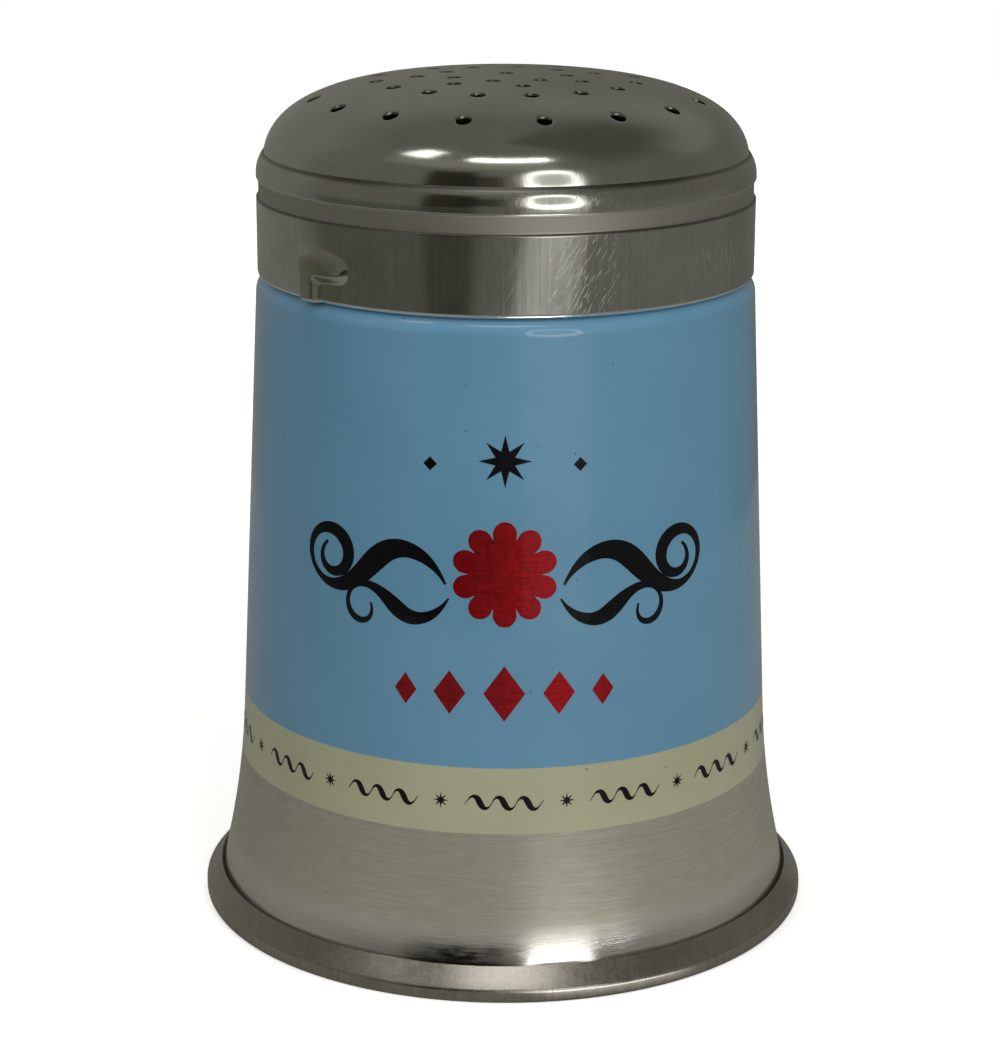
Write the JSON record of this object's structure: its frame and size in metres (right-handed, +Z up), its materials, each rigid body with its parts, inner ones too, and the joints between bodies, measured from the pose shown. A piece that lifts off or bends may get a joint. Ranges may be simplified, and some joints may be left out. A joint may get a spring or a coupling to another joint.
{
  "type": "sugar shaker",
  "caption": "Tapered tin shaker with a flared foot, printed wall, hemmed base pan and a domed, perforated lid that locks with a bayonet turn and lifts off.",
  "frame": {"origin": "centre of the foot's underside, on the surface it stands on", "axes": "+Z up along the can's axis, -Y the side that the picture shows, seam of the wall at +Y"},
  "size_m": [0.085, 0.085, 0.1152],
  "materials": {
    "printed_tinplate": "gloss printed pale blue with a cream band, bare brushed metal at the flare",
    "foot_tinplate": "bare tinplate, satin",
    "lid_steel": "satin, fine upright drawing marks",
    "dome_steel": "polished, lightly scratched"
  },
  "bodies": {
    "can": {"body_wall": "printed_tinplate", "base_pan": "foot_tinplate"},
    "lid": {"lid_ring": "lid_steel", "lid_dome": "dome_steel"}
  },
  "joints": [
    {"name": "lid_lift", "type": "slide", "parent": "can", "child": "lid", "axis": [0, 0, 1], "range_m": [0, 0.04]}
  ]
}
